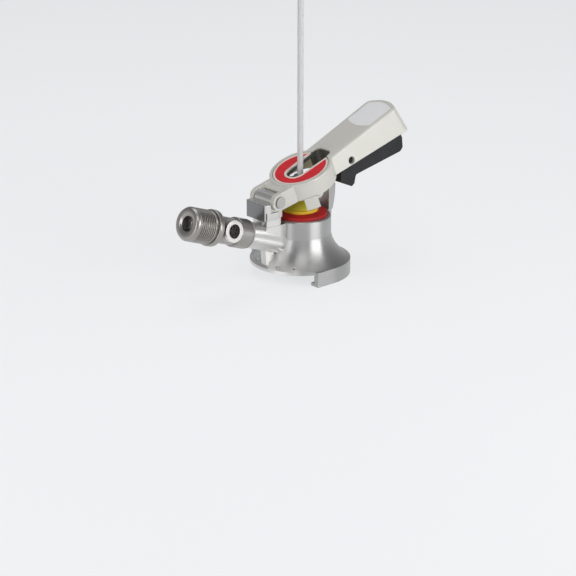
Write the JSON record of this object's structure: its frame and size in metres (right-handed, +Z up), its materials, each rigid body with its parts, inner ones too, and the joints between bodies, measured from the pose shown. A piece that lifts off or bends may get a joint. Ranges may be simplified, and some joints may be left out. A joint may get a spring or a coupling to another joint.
{
  "type": "keg coupler",
  "caption": "Lever-handled slide-on keg coupler: a stainless body with a U skirt, side gas inlet, sliding probe with beer line, and a tilting handle with a latch trigger.",
  "frame": {"origin": "on the body's vertical axis, at the bottom of the skirt", "axes": "+Z up the body's axis, +X towards the arm's end, -X towards the hinge and gas inlet"},
  "size_m": [0.222, 0.08, 0.2604],
  "materials": {
    "cast_steel": "polished stainless casting",
    "black_rubber": "soft seal rubber",
    "red_ring": "moulded red plastic",
    "pin_steel": "ground stainless",
    "washer_white": "pressed fibre washer",
    "adaptor_nickel": "turned, darker plating",
    "spring_steel": "spring wire",
    "relief_brass": "turned brass",
    "probe_steel": "turned stainless",
    "black_moulding": "moulded black plastic",
    "yellow_moulding": "moulded olive yellow plastic",
    "outlet_grey": "moulded grey plastic",
    "line_clear": "translucent tube",
    "connector_grey": "moulded grey plastic",
    "handle_paint": "satin pale paint on a casting",
    "border_cream": "pale moulded border",
    "red_plate": "moulded red insert",
    "label_pale": "bare satin panel",
    "trigger_black": "glass-filled black plastic"
  },
  "bodies": {
    "body": {"coupler_body": "cast_steel", "slide_skirt": "cast_steel", "hinge_bracket": "cast_steel", "gas_spigot": "adaptor_nickel", "body_seal": "black_rubber", "red_wiper_ring": "red_ring", "hinge_pin": "pin_steel", "hinge_clip": "pin_steel", "gas_washer": "washer_white", "gas_adaptor": "adaptor_nickel", "gas_check_seat": "pin_steel", "gas_check_spring": "spring_steel", "relief_cap": "relief_brass", "relief_spring": "spring_steel"},
    "gas_poppet": {"gas_check_poppet": "pin_steel"},
    "relief_valve": {"relief_poppet": "relief_brass"},
    "probe": {"probe_tube": "probe_steel", "probe_tip_seal": "black_rubber", "ball_seat": "black_moulding", "ball_cage": "black_moulding", "probe_bell": "yellow_moulding", "piston_o_ring": "black_rubber", "outlet_socket": "outlet_grey", "outlet_collet": "outlet_grey", "beer_line": "line_clear", "line_connector": "connector_grey", "line_collet_lower": "outlet_grey", "line_collet_upper": "outlet_grey"},
    "check_ball": {"beer_check_ball": "pin_steel"},
    "handle": {"handle_casting": "handle_paint", "plate_border": "border_cream", "red_plate": "red_plate", "label_panel": "label_pale", "cam_pin_front": "pin_steel", "cam_pin_rear": "pin_steel", "hinge_bush_front": "black_moulding", "hinge_bush_rear": "black_moulding", "trigger_pin": "pin_steel", "trigger_spring": "spring_steel"},
    "trigger": {"trigger_lever": "trigger_black"}
  },
  "joints": [
    {"name": "handle_hinge", "type": "hinge", "parent": "body", "child": "handle", "pos_m": [-0.033, 0, 0.0665], "axis": [0, 1, 0], "range_deg": [0, 21]},
    {"name": "probe_slide", "type": "slide", "parent": "body", "child": "probe", "axis": [0, 0, -1], "range_m": [0, 0.0121]},
    {"name": "trigger_pull", "type": "hinge", "parent": "handle", "child": "trigger", "pos_m": [0.03879, 0, 0.0872], "axis": [0, -1, 0], "range_deg": [0, 7], "stiffness_Nm_per_rad": 0.6, "springref_deg": -5.73, "deforming": ["trigger_spring"]},
    {"name": "beer_ball_lift", "type": "slide", "parent": "probe", "child": "check_ball", "axis": [0, 0, 1], "range_m": [0, 0.003]},
    {"name": "gas_poppet_lift", "type": "slide", "parent": "body", "child": "gas_poppet", "axis": [0.9388, 0, -0.3445], "range_m": [0, 0.002], "stiffness_N_per_m": 120, "springref_m": -0.002, "deforming": ["gas_check_spring"]},
    {"name": "relief_lift", "type": "slide", "parent": "body", "child": "relief_valve", "axis": [0.0539, -0.9877, 0.1469], "range_m": [0, 0.0008], "stiffness_N_per_m": 120, "springref_m": -0.002, "deforming": ["relief_spring"]}
  ],
  "couplings": [
    {"joint": "probe_slide", "follows": "handle_hinge", "m_per_rad": 0.0329}
  ]
}
